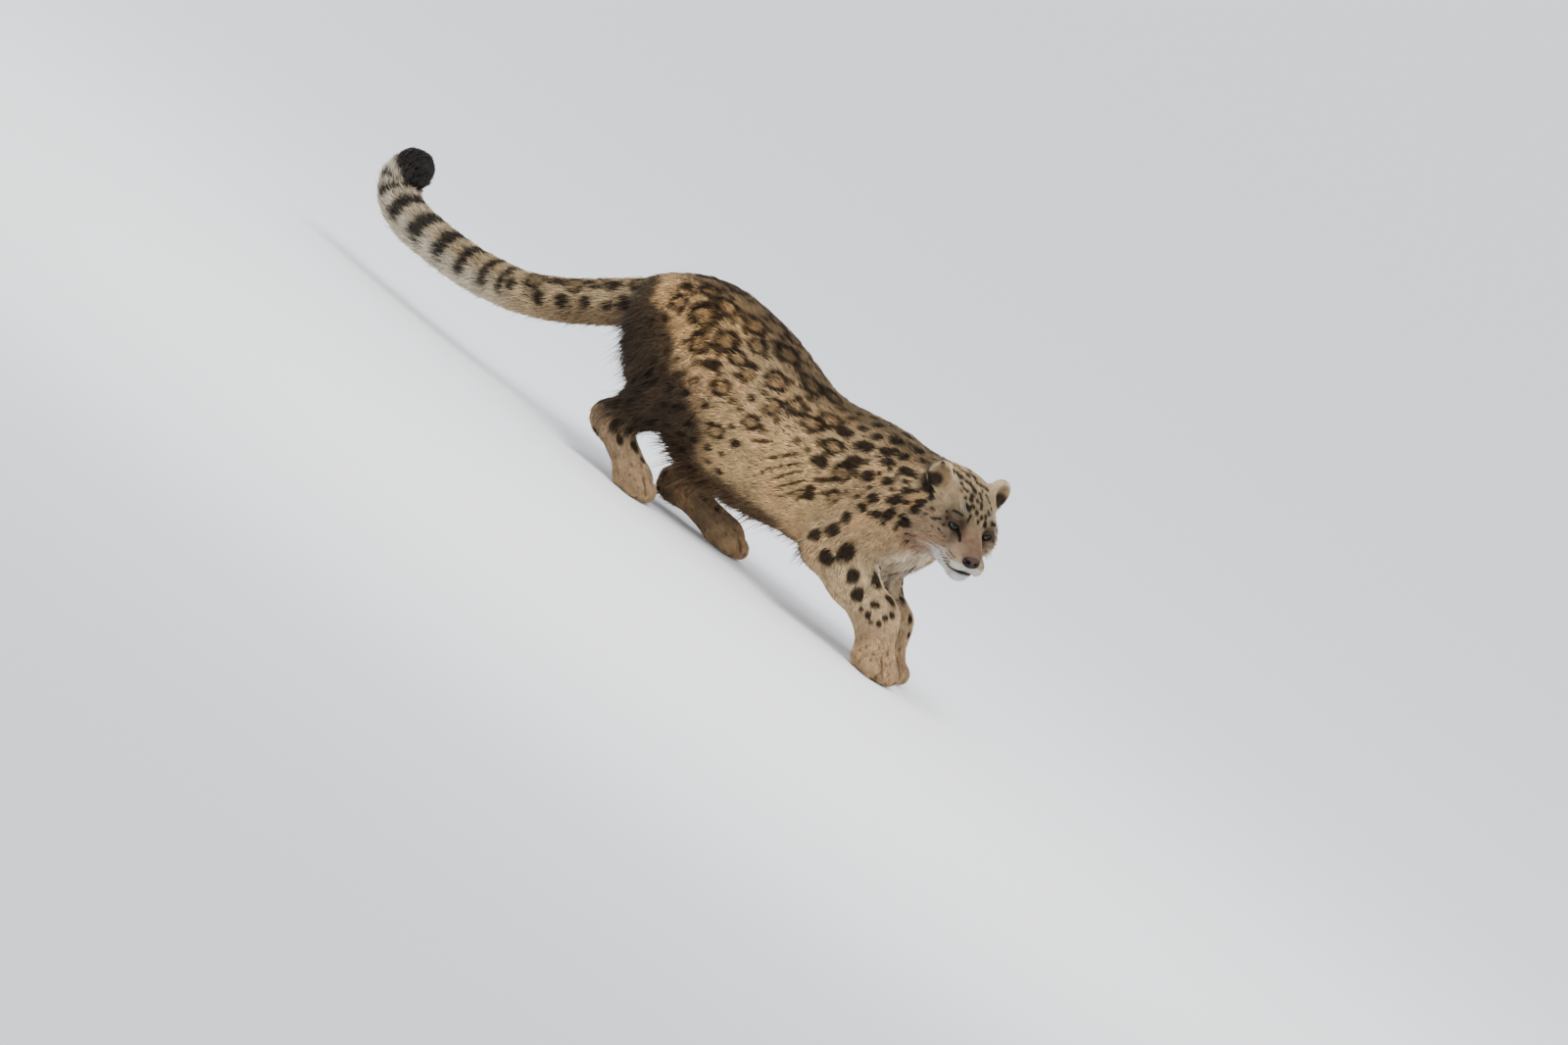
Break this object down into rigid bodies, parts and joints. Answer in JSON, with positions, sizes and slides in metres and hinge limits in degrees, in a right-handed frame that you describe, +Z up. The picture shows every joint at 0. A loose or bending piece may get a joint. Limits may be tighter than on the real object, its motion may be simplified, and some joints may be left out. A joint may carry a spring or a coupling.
{
  "type": "snow leopard",
  "caption": "Life-size still model of a snow leopard in a low walk, head turned to its right and thick tail held out behind with the tip curled up",
  "frame": {"origin": "on the floor, at the centre of the box round the animal", "axes": "+X from tail to nose, +Y to the animal's left, +Z up"},
  "size_m": [1.7588, 0.4018, 0.493],
  "materials": {
    "coat": "dense soft fur, matte",
    "nose": "bare moist skin, satin",
    "eye": "wet, glossy"
  },
  "bodies": {
    "root": {"belly": "coat", "chest": "coat", "ear_left": "coat", "ear_right": "coat", "eye_left": "eye", "eye_right": "eye", "forearm_left": "coat", "forearm_right": "coat", "forepaw_left": "coat", "forepaw_right": "coat", "head": "coat", "hindpaw_left": "coat", "hindpaw_right": "coat", "jaw": "coat", "neck": "coat", "nose": "nose", "rump": "coat", "shank_left": "coat", "shank_right": "coat", "shoulder_left": "coat", "shoulder_right": "coat", "tail_1": "coat", "tail_2": "coat", "tail_3": "coat", "tail_4": "coat", "tail_5": "coat", "thigh_left": "coat", "thigh_right": "coat"}
  },
  "joints": []
}
